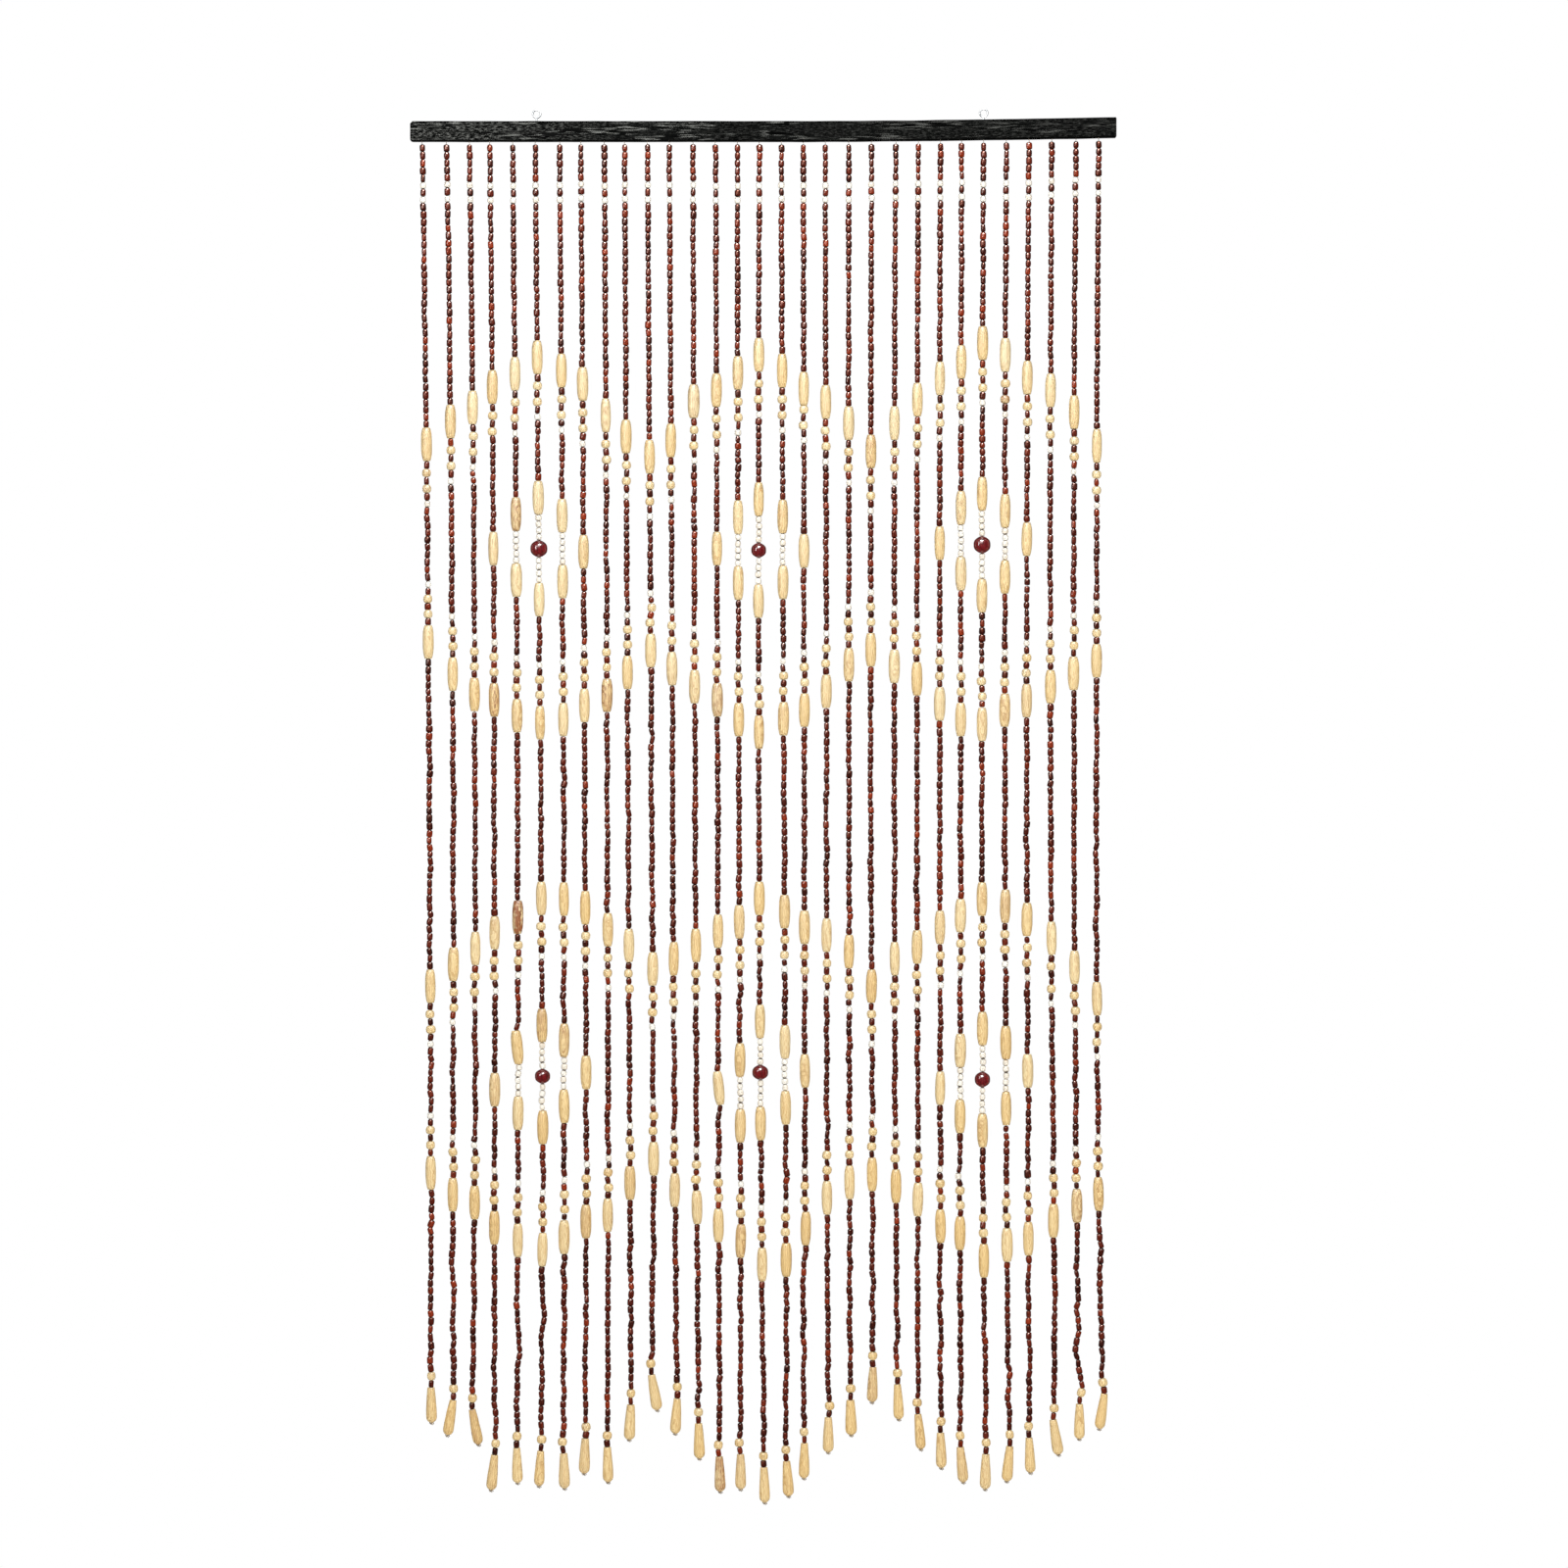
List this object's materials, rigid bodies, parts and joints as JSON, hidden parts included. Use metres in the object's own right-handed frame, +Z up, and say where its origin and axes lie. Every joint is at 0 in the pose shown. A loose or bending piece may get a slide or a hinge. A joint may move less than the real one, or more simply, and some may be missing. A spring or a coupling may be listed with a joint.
{
  "type": "bead curtain with batten",
  "caption": "Door curtain of wooden tube, ball and barrel beads on strings that hang from a black-stained wooden batten with screw eyes; it screens a doorway.",
  "frame": {"origin": "middle of the batten's back face", "axes": "+Z up, the strings hang towards -Z; +Y out of the batten's back face, so that the front looks to -Y; +X to the right seen from the front"},
  "size_m": [0.9, 0.0194, 1.7781],
  "materials": {
    "black_wood": "black stain, rubbed grey along the grain",
    "red_beads": "red-brown stain under lacquer",
    "natural_beads": "bare pale wood with clear lacquer",
    "white_beads": "off-white paint",
    "dark_balls": "dark maroon stain under gloss lacquer",
    "thread": "clear nylon line",
    "zinc": "zinc plate"
  },
  "bodies": {
    "root": {"batten": "black_wood", "string_set": "red_beads", "left_eye": "zinc", "right_eye": "zinc"}
  },
  "joints": []
}
